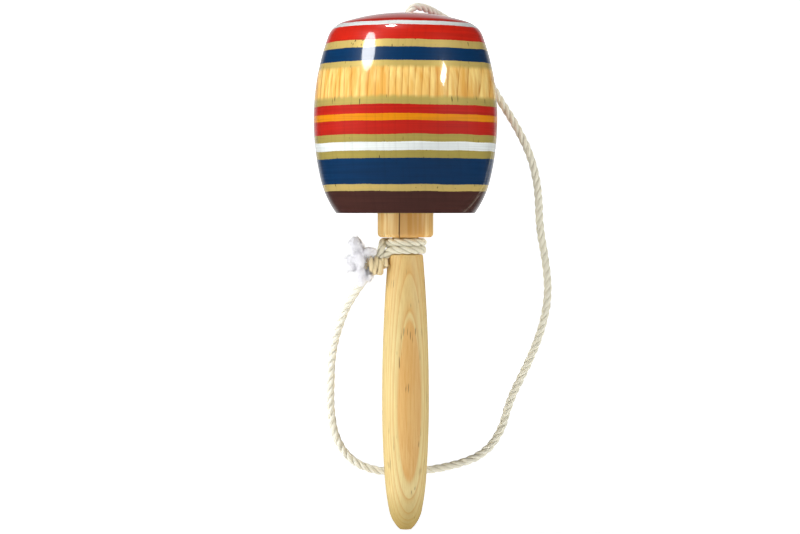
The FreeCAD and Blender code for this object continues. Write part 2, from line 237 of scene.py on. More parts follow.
def lay_rope(name, line, width, lay_length, step=0.6 * MM):
    """A twisted rope along a line."""
    even = frames_along(evenly(line, step))
    strand_radius, out = width * STRAND_RADIUS, width * STRAND_OUT
    lines, radii = [[] for _ in range(STRANDS)], [[] for _ in range(STRANDS)]
    for number, (place, side, up) in enumerate(even):
        for strand in range(STRANDS):
            turn = math.tau * (strand / STRANDS + number * step / lay_length)
            away = side * math.cos(turn) + up * math.sin(turn)
            lines[strand].append(place + away * out)
            radii[strand].append(strand_radius * (1 + UNEVEN * math.sin(turn * 2.3)))
    piece = tubes(name, lines, radii)
    mark_rope(piece, [spot[0] for spot in even], width)
    return piece


def mark_rope(piece, line, width):
    """Write each point's depth in the grooves and its distance along the rope."""
    tree = KDTree(len(line))
    for number, place in enumerate(line):
        tree.insert(place, number)
    tree.balance()
    for name in ("groove", "along"):
        piece.data.attributes.new(name, "FLOAT", "POINT")
    groove, travelled = piece.data.attributes["groove"], piece.data.attributes["along"]
    for vertex in piece.data.vertices:
        _, number, distance = tree.find(vertex.co)
        depth = 1 - distance / (width / 2)
        groove.data[vertex.index].value = min(1.0, max(0.0, depth * GROOVE_GAIN))
        travelled.data[vertex.index].value = number / (len(line) - 1)


CORD_WIDTH = 3.2 * MM
LAY_LENGTH = 10.5 * MM
cord = lay_rope("cord", cord_line, CORD_WIDTH, LAY_LENGTH)
print("cord mesh:", len(cord.data.polygons), "faces", [a.name for a in cord.data.attributes])

# %% [markdown]
# ## The winding on the neck
#
# The cord's end is wound twice round the groove under the peg. The two turns lie level, one on
# the other. On the left the cord climbs from the lower turn to the upper one, its end passes over
# that place, and both ends run down to the knot. The points of the turns come from the circle
# itself.

# %% Neck winding
WINDING_WIDTH = 3.1 * MM
NECK_LOW = 57.3 * MM  # height of the lower turn
TURN_RADIUS = 6.8 * MM
CLIMB = 2.9 * MM  # from the lower turn to the upper one
CLIMB_FROM, CLIMB_FOR = 9.4, 2.4  # counted in control points
POINTS_ON_NECK, POINT_STEP, FIRST_POINT = 25, 29.2, 214  # the last two in degrees


def round_neck(azimuth, height, radius=TURN_RADIUS):
    angle = math.radians(azimuth)
    return Vector((radius * math.cos(angle), radius * math.sin(angle), height))


winding_points = [round_neck(196, 53.6 * MM, 9.4 * MM), round_neck(203, 55.4 * MM, 8.0 * MM)]
for number in range(POINTS_ON_NECK):
    climb = CLIMB * min(1.0, max(0.0, (number - CLIMB_FROM) / CLIMB_FOR))
    over = 2.3 * MM * max(0.0, (number - 21) / 3)
    azimuth = FIRST_POINT + number * POINT_STEP
    winding_points.append(round_neck(azimuth, NECK_LOW + climb, TURN_RADIUS + over))
winding_points += [round_neck(203, 57.4 * MM, 9.9 * MM), round_neck(199, 54.4 * MM, 10.6 * MM)]
winding_line = smooth_line("winding_guide", winding_points)
winding = lay_rope("winding", winding_line, WINDING_WIDTH, LAY_LENGTH, step=0.5 * MM)
print("winding:", round(line_length(winding_line) / MM), "mm of cord")

# %% [markdown]
# ## The neck knot
#
# The end is hitched round itself in a few tight turns. Seen from the front they are upright lumps
# beside the handle. A short helix of thinner, squeezed cord gives them, with a plain piece of
# cord through its middle.

# %% Neck knot
KNOT_CENTRE = Vector((-11.1, -2.8, 51.2)) * MM
KNOT_WIDTH = 3.0 * MM  # of the squeezed cord in it


def coil_points(centre, axis, radius, pitch, turns, start, wobble, per_turn=12):
    """Control points of a short coil round an axis."""
    axis = axis.normalized()
    side = axis.orthogonal().normalized()
    up = axis.cross(side)
    points = []
    for number in range(int(turns * per_turn) + 1):
        turn = number / per_turn
        angle = math.tau * turn + start
        reach = radius * (1 + wobble * math.sin(3.1 * number))
        shift = (turn - turns / 2) * pitch
        away = side * math.cos(angle) + up * math.sin(angle)
        points.append(centre + axis * shift + away * reach)
    return points


hitch_axis = Vector((-1.0, -0.28, -0.06))
hitch_coil = coil_points(
    KNOT_CENTRE, hitch_axis, radius=2.55 * MM, pitch=2.5 * MM, turns=2.4, start=0.6, wobble=0.06
)
hitch_line = smooth_line("hitch_guide", hitch_coil)
hitch = lay_rope("hitch", hitch_line, KNOT_WIDTH, 13.0 * MM, step=0.4 * MM)
along_hitch = hitch_axis.normalized()
core_line = [KNOT_CENTRE - along_hitch * 4.0 * MM, KNOT_CENTRE + along_hitch * 5.2 * MM]
core = lay_rope("core", core_line, KNOT_WIDTH, 8.5 * MM, step=0.4 * MM)


def join_pieces(name, *parts):
    """Join meshes into one piece with the first one's attributes."""
    bpy.ops.object.select_all(action="DESELECT")
    for part in parts:
        part.select_set(True)
    bpy.context.view_layer.objects.active = parts[0]
    bpy.ops.object.join()
    parts[0].name = name
    return parts[0]


knot = join_pieces("knot", hitch, core)
print("knot:", len(knot.data.polygons), "faces")

# %% [markdown]
# ## The stopper knot
#
# Inside the barrel the cord ends in a knot too big for the hole. It is an overhand knot pulled
# tight, whose line is the trefoil, the simplest knotted loop. It is seen only from below when the
# barrel is off its peg.

# %% Stopper knot
STOPPER_CENTRE = Vector((0.0, 0.0, 120.4)) * MM


def trefoil(centre, size, height, count=40):
    """Control points of a trefoil, with its half width and its height as a share of that."""
    points = []
    for number in range(count):
        t = math.tau * (number + 0.5) / count
        x, y = math.sin(t) + 2 * math.sin(2 * t), math.cos(t) - 2 * math.cos(2 * t)
        across = Vector((x, y, 0)) / 3
        points.append(centre + across * size + Vector((0, 0, -math.sin(3 * t) * size * height / 3)))
    return points


stopper_line = smooth_line("stopper_guide", trefoil(STOPPER_CENTRE, size=3.1 * MM, height=1.7))
stopper = lay_rope("stopper", stopper_line, 2.4 * MM, 8.0 * MM, step=0.4 * MM)
print("stopper:", len(stopper.data.polygons), "faces")

# %% [markdown]
# ## The frayed end
#
# Past the knot the cord comes undone into loose cotton. A fluffy mass could be a solid with a
# rough surface, but its edge would look hard. Here a soft lobed core carries many fine fibres,
# which start at the knot, follow one of the lobes and bend out at the end. The fibres are thin
# tubes with few sides.

# %% Frayed end
TUFT_ROOT = Vector((-14.6, -4.2, 52.2)) * MM
LOBES = [
    # middle of the lobe, half sizes, fibres
    (Vector((-19.1, -5.6, 58.5)), Vector((3.5, 2.5, 4.2)), 150),
    (Vector((-17.6, -5.8, 53.2)), Vector((2.6, 2.4, 4.0)), 60),
    (Vector((-21.2, -5.8, 52.0)), Vector((2.7, 2.1, 3.6)), 130),
    (Vector((-16.9, -5.4, 47.4)), Vector((2.7, 2.3, 4.4)), 150),
    (Vector((-13.6, -5.6, 46.6)), Vector((1.3, 1.3, 1.9)), 50),
    (Vector((-13.8, -5.6, 56.6)), Vector((3.4, 1.6, 1.9)), 60),
]
CORE_SHARE = 0.92  # of a lobe's size, so that fibres stand out of it
FIBRE_STEPS = 8


def cotton_core(name, lobes):
    """Overlapping egg shapes welded by a voxel remesh and made uneven."""
    shape = bmesh.new()
    for middle, half, _ in lobes:
        made = bmesh.ops.create_icosphere(shape, subdivisions=3, radius=1.0)
        bmesh.ops.scale(shape, vec=half * MM * CORE_SHARE, verts=made["verts"])
        bmesh.ops.translate(shape, vec=middle * MM, verts=made["verts"])
    mesh = bpy.data.meshes.new(name)
    shape.to_mesh(mesh)
    shape.free()
    piece = bpy.data.objects.new(name, mesh)
    bpy.context.scene.collection.objects.link(piece)
    weld = piece.modifiers.new("weld", "REMESH")
    weld.mode = "VOXEL"
    weld.voxel_size = 0.35 * MM
    soften = piece.modifiers.new("soften", "SMOOTH")
    soften.iterations = 6
    depsgraph = bpy.context.evaluated_depsgraph_get()
    whole = bpy.data.meshes.new_from_object(piece.evaluated_get(depsgraph))
    piece.modifiers.clear()
    piece.data = whole
    for vertex in whole.vertices:  # waves of a few millimetres, and finer ones on them
        bumpy = smooth_noise(vertex.co * 420) * 0.55 + smooth_noise(vertex.co * 1400) * 0.18
        vertex.co += vertex.normal * bumpy * MM
    for polygon in whole.polygons:
        polygon.use_smooth = True
    return piece


def loose_fibres(name, root, lobes, seed=7):
    """Fine fibres from the root through each lobe, spreading and curling towards the end."""
    dice = random.Random(seed)
    lines, radii = [], []
    for middle, half, count in lobes:
        for _ in range(count):
            spot = Vector((dice.gauss(0, 1), dice.gauss(0, 1), dice.gauss(0, 1))).normalized()
            on_lobe = Vector(a * b for a, b in zip(spot, half)) * MM
            skin = middle * MM + on_lobe * dice.uniform(0.82, 1.0)
            flow = (middle * MM - root).normalized()
            curl = Vector((dice.uniform(-1, 1), dice.uniform(-1, 1), dice.uniform(-1, 1)))
            ahead = flow * 0.9 + spot * 0.35 + curl * 0.5
            tip = skin + ahead * dice.uniform(0.6, 1.9) * MM
            start = root + (skin - root) * dice.uniform(0.25, 0.6) + spot * 0.4 * MM
            bend = (start + skin) / 2 + spot * dice.uniform(0.3, 1.3) * MM
            line = []
            for number in range(FIBRE_STEPS + 1):
                t = number / FIBRE_STEPS
                a, b = start.lerp(bend, t), bend.lerp(skin, t)
                on = a.lerp(b, t)
                line.append(on if t < 0.75 else on.lerp(tip, (t - 0.75) * 2.4))
            lines.append(line)
            thick = dice.uniform(0.05, 0.11) * MM
            radii.append([thick * (1 - 0.6 * n / FIBRE_STEPS) for n in range(FIBRE_STEPS + 1)])
    return tubes(name, lines, radii, detail=0)


tuft = cotton_core("tuft", LOBES)
fibres = loose_fibres("tuft_fibres", TUFT_ROOT, LOBES)
print("tuft:", len(tuft.data.polygons), "faces, fibres:", len(fibres.data.polygons), "faces")

# %% [markdown]
# ## Turning wood
#
# Both wooden pieces were turned on a lathe, so each is one outline carried round an axis. The
# outline is drawn from the turner's own sizes: a few circle arcs that run into each other without
# a corner. Bmesh spins it into a closed skin. The lathe leaves no seam, so the doubled points
# where the spin ends are merged.

# %% Outline helpers
def meeting(centre_a, radius_a, centre_b, radius_b):
    """The two points where two circles cross."""
    a, b = Vector(centre_a), Vector(centre_b)
    apart = (b - a).length
    on = (radius_a**2 - radius_b**2 + apart**2) / (2 * apart)
    off = math.sqrt(max(0.0, radius_a**2 - on**2))
    ahead = (b - a) / apart
    square = Vector((-ahead.y, ahead.x))
    return a + ahead * on + square * off, a + ahead * on - square * off


def arc(centre, radius, start, end, steps):
    """Points from one place to another round a circle, the short way."""
    centre = Vector(centre)
    first = math.atan2(start[1] - centre.y, start[0] - centre.x)
    last = math.atan2(end[1] - centre.y, end[0] - centre.x)
    sweep = (last - first + math.pi) % math.tau - math.pi
    turns = [first + sweep * number / steps for number in range(steps + 1)]
    return [centre + Vector((math.cos(turn), math.sin(turn))) * radius for turn in turns]


def along(start, through, distance):
    start, through = Vector(start), Vector(through)
    return start + (through - start).normalized() * distance


def rounded(before, corner, after, radius, steps=6):
    """A corner between two straight lines, rounded."""
    corner = Vector(corner)
    back, on = (Vector(before) - corner).normalized(), (Vector(after) - corner).normalized()
    half = back.angle(on) / 2
    reach = radius / math.tan(half)
    centre = corner + (back + on).normalized() * radius / math.sin(half)
    return arc(centre, radius, corner + back * reach, corner + on * reach, steps)


SORTING = Vector((1.0, 7.31, 97.3))  # unequal weights, so that no two places tie


def turn_wood(name, outline, steps=192):
    """Spin an outline of (radius, height) points in millimetres round the Z axis.

    An outline that starts away from the axis is a hollow piece's, so it closes on itself.
    """
    shape = bmesh.new()
    points = [shape.verts.new((place[0] * MM, 0.0, place[1] * MM)) for place in outline]
    for a, b in zip(points, points[1:]):
        shape.edges.new((a, b))
    if outline[0][0] > 1e-6:
        shape.edges.new((points[-1], points[0]))
    bmesh.ops.spin(
        shape,
        geom=shape.verts[:] + shape.edges[:],
        cent=(0, 0, 0),
        axis=(0, 0, 1),
        angle=math.tau,
        steps=steps,
        use_merge=True,
    )
    bmesh.ops.remove_doubles(shape, verts=shape.verts[:], dist=0.002 * MM)
    bmesh.ops.recalc_face_normals(shape, faces=shape.faces[:])
    # The spin leaves no fixed order, and sorting makes the mesh the same every time.
    shape.verts.sort(key=lambda vertex: vertex.co.dot(SORTING))
    shape.faces.sort(key=lambda face: face.calc_center_median().dot(SORTING))
    mesh = bpy.data.meshes.new(name)
    shape.to_mesh(mesh)
    shape.free()
    for polygon in mesh.polygons:
        polygon.use_smooth = True
    piece = bpy.data.objects.new(name, mesh)
    bpy.context.scene.collection.objects.link(piece)
    return piece


# %% [markdown]
# ## The barrel
#
# The barrel is widest a little under its middle. Its side is one long arc over the belly and two
# shorter ones under it, and its top is a shallow dome with a soft shoulder. The base is flat and
# bored for the peg, and a small hole goes from the bore's end up through the dome for the cord.

# %% Barrel
barrel_low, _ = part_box("barrel")
FOOT_Z = barrel_low[2] / MM
BELLY_Z, DOME_Z = FOOT_Z + 35.6, FOOT_Z + 76.2
BELLY_R, RIM_R, SOCKET_R, STRING_R = 35.0, 26.4, 11.6, 2.6
MOUTH_ROUND, RIM_ROUND = 1.2, 0.6
CONE_FOOT, CONE_SLOPE = 119.05, 0.6009  # where the drill's point starts, and its rise


def barrel_outline():
    side, under, foot_r, dome_r, shoulder_r = 92.5, 97.0, 35.5, 78.5, 8.8
    side_c, under_c = (BELLY_R - side, BELLY_Z), (BELLY_R - under, BELLY_Z)
    dome_c = (0, DOME_Z - dome_r)
    rim, belly = (RIM_R, FOOT_Z), (BELLY_R, BELLY_Z)
    foot_c = max(meeting(under_c, under - foot_r, rim, foot_r), key=lambda p: p.y)
    foot_end = along(under_c, foot_c, under)
    crossings = meeting(side_c, side - shoulder_r, dome_c, dome_r - shoulder_r)
    shoulder_c = max(crossings, key=lambda p: p.x)
    shoulder_low, shoulder_high = along(side_c, shoulder_c, side), along(dome_c, shoulder_c, dome_r)
    mouth = STRING_R + MOUTH_ROUND
    lip = (mouth, dome_c[1] + math.sqrt(dome_r**2 - mouth**2))
    foot = arc(foot_c, foot_r, foot_end, rim, 24)
    low_lip = lip[1] - MOUTH_ROUND
    points = arc((mouth, low_lip), MOUTH_ROUND, (STRING_R, low_lip), lip, 5)
    points += arc(dome_c, dome_r, lip, shoulder_high, 26)[1:]
    points += arc(shoulder_c, shoulder_r, shoulder_high, shoulder_low, 16)[1:]
    points += arc(side_c, side, shoulder_low, belly, 34)[1:]
    points += arc(under_c, under, belly, foot_end, 18)[1:] + foot[1:-2]
    points += rounded(foot[-2], rim, (0, FOOT_Z), RIM_ROUND)
    points += rounded(rim, (SOCKET_R, FOOT_Z), (SOCKET_R, DOME_Z), MOUTH_ROUND)
    cone_top = CONE_FOOT + (SOCKET_R - STRING_R) * CONE_SLOPE
    # Two extra rings keep the socket's long faces short.
    points += [Vector((SOCKET_R, z)) for z in (FOOT_Z + 12.0, FOOT_Z + 30.0, CONE_FOOT)]
    points += [Vector((STRING_R, z)) for z in (cone_top, 135.0)]
    return points


barrel = turn_wood("barrel_wood", barrel_outline())
print("barrel:", len(barrel.data.polygons), "faces")

# %% [markdown]
# ## The stick
#
# The stick is one long turning: a rounded tip, a grip that swells gently, a narrow groove for the
# cord, and the peg, of which only the lowest part shows under the barrel.

# %% Stick
GRIP_R, NECK_R, PEG_R = 9.0, 5.0, 10.65


def stick_outline():
    low, high, nose_r, tip_r = 423.0, 665.0, 101.5, 13.4
    tip_flat, heel_round, foot_round, end_round = 2.2, 0.8, 1.5, 3.0
    tip_z, nose_z, heel_z, foot_z, end_z = -49.4, -29.5, 55.6, 62.0, 117.2
    widest, low_c, high_c = (GRIP_R, 0.0), (GRIP_R - low, 0.0), (GRIP_R - high, 0.0)
    nose_start = Vector((low_c[0] + math.sqrt(low**2 - nose_z**2), nose_z))
    heel = Vector((high_c[0] + math.sqrt(high**2 - heel_z**2), heel_z))
    nose_c = along(low_c, nose_start, low - nose_r)
    flat = Vector((tip_flat, tip_z))
    tip_c = max(meeting(nose_c, nose_r - tip_r, flat, tip_r), key=lambda p: p.y)
    tip_start = along(nose_c, tip_c, nose_r)
    side = arc(high_c, high, widest, heel, 26)
    points = [Vector((0.0, tip_z)), Vector((1.2, tip_z))]
    points += arc(tip_c, tip_r, flat, tip_start, 12)
    points += arc(nose_c, nose_r, tip_start, nose_start, 12)[1:]
    points += arc(low_c, low, nose_start, widest, 16)[1:] + side[1:-2]
    points += rounded(side[-2], heel, (NECK_R, heel_z), heel_round)
    points += [Vector((NECK_R, heel_z)), Vector((NECK_R, foot_z))]
    points += rounded((NECK_R, foot_z), (PEG_R, foot_z), (PEG_R, end_z), foot_round)
    points += [Vector((PEG_R, z)) for z in (68.0, 80.0, 98.0)]
    points += rounded((PEG_R, 98.0), (PEG_R, end_z), (0.0, end_z), end_round, 8)
    return points + [Vector((4.0, end_z)), Vector((0.0, end_z))]


stick = turn_wood("stick_wood", stick_outline(), steps=160)
print("stick:", len(stick.data.polygons), "faces")

# %% [markdown]
# ## Mixing finishes
#
# A finish is a small calculation made at every point of the surface. Written as nodes it is hard
# to read, so one small class lets a node's output be added and multiplied like a number, and one
# method adds any other node.

# %% Shader helpers
class Value:
    """A node's output. Arithmetic on it adds Math nodes."""

    def __init__(self, bench, socket):
        self.bench, self.socket = bench, socket

    def math(self, operation, *values):
        return self.bench.node("ShaderNodeMath", {"operation": operation}, dict(enumerate(values)))

    def absolute(self):
        return self.math("ABSOLUTE", self)

    def fraction(self):
        return self.math("FRACT", self)

    def __add__(self, other):
        return self.math("ADD", self, other)

    def __sub__(self, other):
        return self.math("SUBTRACT", self, other)

    def __rsub__(self, other):
        return self.math("SUBTRACT", other, self)

    def __mul__(self, other):
        return self.math("MULTIPLY", self, other)

    def __truediv__(self, other):
        return self.math("DIVIDE", self, other)

    def __pow__(self, other):
        return self.math("POWER", self, other)

    __radd__, __rmul__ = __add__, __mul__


class Bench:
    """One material, or the room's light, and the nodes that make it."""

    def __init__(self, name, owner=None):
        self.material = owner or bpy.data.materials.new(name)
        self.material.use_nodes = True
        self.tree = self.material.node_tree
        self.shader = self.tree.nodes["Background" if owner else "Principled BSDF"]

    def node(self, kind, settings=None, sockets=None, output=0):
        """Add a node, set it up, feed its sockets with values, and return one of its outputs."""
        node = self.tree.nodes.new(kind)
        settings = dict(settings or {})
        stops = settings.pop("stops", None)
        interpolation = settings.pop("interpolation", "LINEAR")
        for name, value in settings.items():
            setattr(node, name, value)
        if stops:
            ramp = node.color_ramp
            ramp.interpolation = interpolation
            while len(ramp.elements) < len(stops):
                ramp.elements.new(1.0)
            for element, (place, colour) in zip(ramp.elements, stops):
                element.position = place
                element.color = (*colour, 1.0) if len(colour) == 3 else colour
        for name, value in (sockets or {}).items():
            self.feed(node.inputs[name], value)
        return Value(self, node.outputs[output])

    def feed(self, socket, value):
        if isinstance(value, Value):
            self.tree.links.new(value.socket, socket)
        else:
            socket.default_value = value

    def place(self):
        """Where on the piece, in millimetres."""
        where = self.node("ShaderNodeTexCoord", output="Object")
        sockets = {0: where, "Scale": 1 / MM}
        return self.node("ShaderNodeVectorMath", {"operation": "SCALE"}, sockets)

    def split(self, vector):
        return [self.node("ShaderNodeSeparateXYZ", sockets={0: vector}, output=n) for n in range(3)]

    def join(self, x, y, z):
        return self.node("ShaderNodeCombineXYZ", sockets={0: x, 1: y, 2: z})

    def noise(self, vector, scale=1.0, detail=2.0, roughness=0.5):
        sockets = {"Vector": vector, "Scale": scale, "Detail": detail, "Roughness": roughness}
        return self.node("ShaderNodeTexNoise", sockets=sockets)

    def between(self, value, low, high, start=0.0, end=1.0):
        """Carry a value from one range to another and hold it there."""
        sockets = {"Value": value, "From Min": low, "From Max": high}
        sockets |= {"To Min": start, "To Max": end}
        return self.node("ShaderNodeMapRange", {"clamp": True}, sockets)

    def mix(self, amount, first, second, blend="MIX"):
        settings = {"data_type": "RGBA", "blend_type": blend}
        return self.node("ShaderNodeMix", settings, {0: amount, 6: first, 7: second}, output=2)

    def ramp(self, value, stops, interpolation="LINEAR"):
        settings = {"stops": stops, "interpolation": interpolation}
        return self.node("ShaderNodeValToRGB", settings, {0: value})

    def bump(self, height, strength, distance):
        sockets = {"Height": height, "Strength": strength, "Distance": distance}
        return self.node("ShaderNodeBump", sockets=sockets)

    def finish(self, **inputs):
        for name, value in inputs.items():
            title = name.replace("_", " ").title().replace("Ior", "IOR")
            self.feed(self.shader.inputs[title], value)
        return self.material


def paint(red, green, blue):
    """A colour as a painter's chart gives it, 0 to 255, made linear for the shader."""
    chart = [channel / 255 for channel in (red, green, blue)]
    linear = [c / 12.92 if c <= 0.04045 else ((c + 0.055) / 1.055) ** 2.4 for c in chart]
    return (*linear, 1.0)


def dress(piece, material):
    piece.data.materials.clear()
    piece.data.materials.append(material)


print("shader helpers ready")

# %% [markdown]
# ## The painted bands
#
# The barrel is painted on the lathe: a brush is held against the turning wood, so every band is a
# ring whose edges wander by a hair. The bands could be separate meshes or a picture, but here the
# colour follows the height alone, through a ramp that changes at once from one paint to the next.
# A little noise is added to the height first, which gives the wandering edges.

# %% Band heights and paints
PAINTS = {
    "brown": paint(74, 42, 36),
    "gold": paint(206, 180, 98),
    "blue": paint(0, 50, 92),
    "white": paint(232, 238, 236),
    "red": paint(204, 34, 16),
    "deep red": paint(190, 30, 16),
    "amber": paint(228, 140, 0),
}
BANDS = [
    # paint, and the height of the band's upper edge in millimetres
    ("brown", 79.2), ("gold", 81.7), ("blue", 91.5), ("gold", 94.1),
    ("white", 97.4), ("gold", 100.2),
    ("deep red", 105.1), ("amber", 107.8), ("deep red", 111.2), ("gold", 127.5),
    ("blue", 132.4), ("gold", 135.1), ("red", 140.7), ("white", 142.4), ("red", 150.0),
]
BARE_WOOD = (114.2, 125.2)
RAMP_LOW, RAMP_HIGH = 70.0, 150.0


def band_stops(colour_of):
    """Ramp stops for the bands: each band's colour starts where the band under it ends."""
    starts = [RAMP_LOW] + [top for _, top in BANDS[:-1]]
    span = RAMP_HIGH - RAMP_LOW
    return [((start - RAMP_LOW) / span, colour_of(name)) for start, (name, _) in zip(starts, BANDS)]


print("bands:", len(BANDS))

# %% [markdown]
# ## Pine grain
#
# Pine grows in rings, pale in spring and darker in late summer. A board or a turning cuts through
# those rings, and the lines that show are where the surface crosses them. So the grain is worked
# out in space: the distance from the middle of the tree, divided by the width of a ring. A little
# noise bends the rings, and stretched noise adds the fine fibres. A picture of wood could not
# follow the swelling shape like this.

# %% Pine
# How dark a year's wood is: pale in spring, darkest late in summer, and pale again at once.
YEAR = [(0.0, 0.05), (0.5, 0.15), (0.84, 0.6), (0.92, 1.0), (1.0, 0.05)]


def pine_grain(bench, place, middle, ring_width, bend, bend_length, shift=0.0):
    """How dark the rings and the fine fibres are, both 0 to 1, and the count of rings."""
    x, y, z = bench.split(place)
    slow = bench.noise(bench.join(x * 0.035, y * 0.035, z * bend_length), detail=2.0)
    out_x, out_y = x - middle[0], y - middle[1]
    reach = (out_x * out_x + out_y * out_y) ** 0.5 + (slow - 0.5) * bend
    count = reach / ring_width + shift
    late = bench.ramp(count.fraction(), [(season, (dark,) * 3) for season, dark in YEAR])
    fibre = bench.noise(bench.join(x * 2.4, y * 2.4, z * 0.07), detail=5.0, roughness=0.65)
    return late, fibre, count


# %% [markdown]
# ## The barrel's finish
#
# Under the paint is pine, which stays bare in one band and shows as faint upright lines through
# the rest. The gold paint holds metal powder, so it is partly metallic. Small dark cracks run
# along the grain. Over everything lies clear lacquer: a coat with its own sharp reflection, on
# top of the duller paint.

# %% Lacquered barrel
def lacquered_barrel():
    bench = Bench("lacquered_bands")
    place = bench.place()
    x, y, z = bench.split(place)
    wander = (bench.noise(place, scale=0.06, detail=1.0) - 0.5) * 0.9
    ragged = (bench.noise(place, scale=1.1, detail=2.0) - 0.5) * 0.22
    level = bench.between(z + wander + ragged, RAMP_LOW, RAMP_HIGH)
    colour = bench.ramp(level, band_stops(lambda name: PAINTS[name]), "CONSTANT")
    gold_bands = band_stops(lambda name: (float(name == "gold"),) * 3)
    gold, _, _ = bench.split(bench.ramp(level, gold_bands, "CONSTANT"))
    thin = (bench.noise(bench.join(x * 0.5, y * 0.5, z * 0.05), detail=2.0) - 0.5) * 1.2
    low, high, fade = *BARE_WOOD, 0.7
    bare = bench.between(z + wander + thin, low - fade, low + fade)
    bare = bare * bench.between(z + wander - thin, high + fade, high - fade)
    late, fibre, _ = pine_grain(bench, place, (-240.0, 60.0), 2.7, bend=14.0, bend_length=0.003)
    column = bench.noise(bench.join(x * 0.32, y * 0.32, z * 0.012), detail=3.0, roughness=0.6)
    stripe = bench.noise(bench.join(x * 1.05, y * 1.05, z * 0.02), detail=1.0)
    pale = bench.mix(
        bench.between(column, 0.36, 0.62), paint(250, 222, 140), paint(230, 174, 82)
    )
    lines = late * bench.between(stripe, 0.35, 0.6, 0.45, 1.0)
    pine = bench.mix(lines, pale, paint(190, 124, 44))
    pine = bench.mix(bench.between(fibre, 0.5, 0.8, 0.0, 0.3), pine, paint(206, 146, 62))
    brushed = bench.noise(bench.join(x * 0.03, y * 0.03, z * 1.6), detail=3.0)
    # Painted shade on the gold: bright is how far the gold darkens towards olive, growing from 133 mm down
    # to 96 mm and fading out between 90 and 83 mm.
    bright = bench.between(z, 133.0, 96.0, 0.0, 0.55) * bench.between(z, 83.0, 90.0)
    gold_light = bench.mix(brushed, paint(196, 168, 86), paint(238, 212, 132))
    gold_light = bench.mix(bright, gold_light, paint(150, 142, 48))
    painted = bench.mix(gold, colour, gold_light)
    streaks = bench.between(brushed, 0.3, 0.7, 0.0, 0.22)
    painted = bench.mix(streaks, painted, paint(20, 12, 8), "MULTIPLY")
    grain_through = late * bench.between(column, 0.4, 0.6, 0.0, 0.12)
    painted = bench.mix(grain_through, painted, paint(60, 40, 30), "MULTIPLY")
    surface = bench.mix(bare, painted, pine)
    split_line = bench.noise(bench.join(x * 1.5, y * 1.5, z * 0.16), detail=0.0)
    split_here = bench.noise(place, scale=0.16, detail=1.0)
    crack = bench.between(split_line, 0.74, 0.78) * bench.between(split_here, 0.47, 0.53)
    crack = crack * gold * (1 - bare)
    surface = bench.mix(crack, surface, paint(34, 24, 14))
    ripple = bench.noise(place, scale=0.22, detail=2.0)
    height = fibre * 0.25 + brushed * 0.2 + ripple * 1.2 - crack * 1.5
    return bench.finish(
        base_color=surface,
        metallic=gold * (1 - bare) * 0.22,
        roughness=bench.between(brushed, 0.3, 0.7, 0.32, 0.45),
        specular_ior_level=0.2,
        coat_weight=1 - bare * bench.between(fibre, 0.42, 0.62, 0.0, 0.6),
        coat_roughness=0.07,
        normal=bench.bump(height, 0.35, 0.00006),
    )


dress(barrel, lacquered_barrel())
print("barrel finish:", len(barrel.data.materials[0].node_tree.nodes), "nodes")

# %% [markdown]
# ## The stick's finish
#
# The stick is pale pine, sanded and rubbed with a little varnish. It was sawn so that the rings
# lie nearly flat across its front. Where the grip swells, the surface cuts through them in long
# ovals, and the innermost oval is the darkest.

# %% Satin pine stick
def satin_pine():
    bench = Bench("satin_pine")
    place = bench.place()
    x, y, z = bench.split(place)
    late, fibre, count = pine_grain(
        bench, place, (-12.0, 62.0), 0.95, bend=0.9, bend_length=0.014, shift=-0.03
    )
    oval = bench.between(count - z * 0.006, 74.86, 75.0)  # past the 75th ring
    patch = bench.noise(bench.join(x * 0.12, y * 0.12, z * 0.02), detail=2.0)
    pale = bench.mix(patch, paint(234, 219, 158), paint(227, 204, 136))
    wood = bench.mix(late * (1 - oval * 0.75) * 0.72, pale, paint(212, 152, 72))
    in_oval = oval * bench.between(fibre, 0.3, 0.7, 0.5, 0.85)
    wood = bench.mix(in_oval, wood, paint(222, 158, 74))
    wood = bench.mix(bench.between(z, 24.0, 50.0, 0.0, 0.45), wood, paint(216, 166, 90))
    wood = bench.mix(bench.between(fibre, 0.45, 0.78, 0.0, 0.45), wood, paint(192, 138, 70))
    peg = bench.between(z, 61.6, 62.2)
    # Painted shade: the peg under the barrel's foot is painted browner than the grip, in noisy patches, and
    # darkest across the middle of its width.
    collar_mottle = bench.noise(bench.join(x * 0.6, y * 0.6, z * 0.03), detail=3.0)
    middle = bench.between((x - 1.5).absolute(), 7.5, 3.0, 0.0, 0.65)
    brown = bench.mix(
        bench.between(collar_mottle, 0.42, 0.6), paint(226, 170, 86), paint(250, 218, 150)
    )
    brown = bench.mix(middle, brown, paint(202, 138, 52))
    wood = bench.mix(peg * 0.85, wood, brown)
    from_shake = (x + 2.3 + (fibre - 0.5) * 0.6).absolute()
    shake = bench.between(from_shake, 0.34, 0.12) * peg * bench.between(y, -8.0, -9.0)
    wood = bench.mix(shake, wood, paint(92, 50, 18))
    fleck_line = bench.noise(bench.join(x * 1.7, y * 1.7, z * 0.1), detail=0.0)
    fleck_here = bench.noise(place, scale=0.13, detail=1.0)
    fleck = bench.between(fleck_line, 0.72, 0.78) * bench.between(fleck_here, 0.5, 0.6)
    wood = bench.mix(fleck * 0.75, wood, paint(120, 84, 40))
    end = bench.between(z, -34.0, -49.0)
    wood = bench.mix(end * 0.8, wood, paint(168, 136, 52))
    height = fibre * 0.5 + late * 0.3 - fleck * 0.8
    return bench.finish(
        base_color=wood,
        roughness=bench.between(fibre, 0.3, 0.7, 0.38, 0.52),
        coat_weight=0.25,
        coat_roughness=0.25,
        normal=bench.bump(height, 0.4, 0.00005),
    )


dress(stick, satin_pine())
print("stick finish:", len(stick.data.materials[0].node_tree.nodes), "nodes")
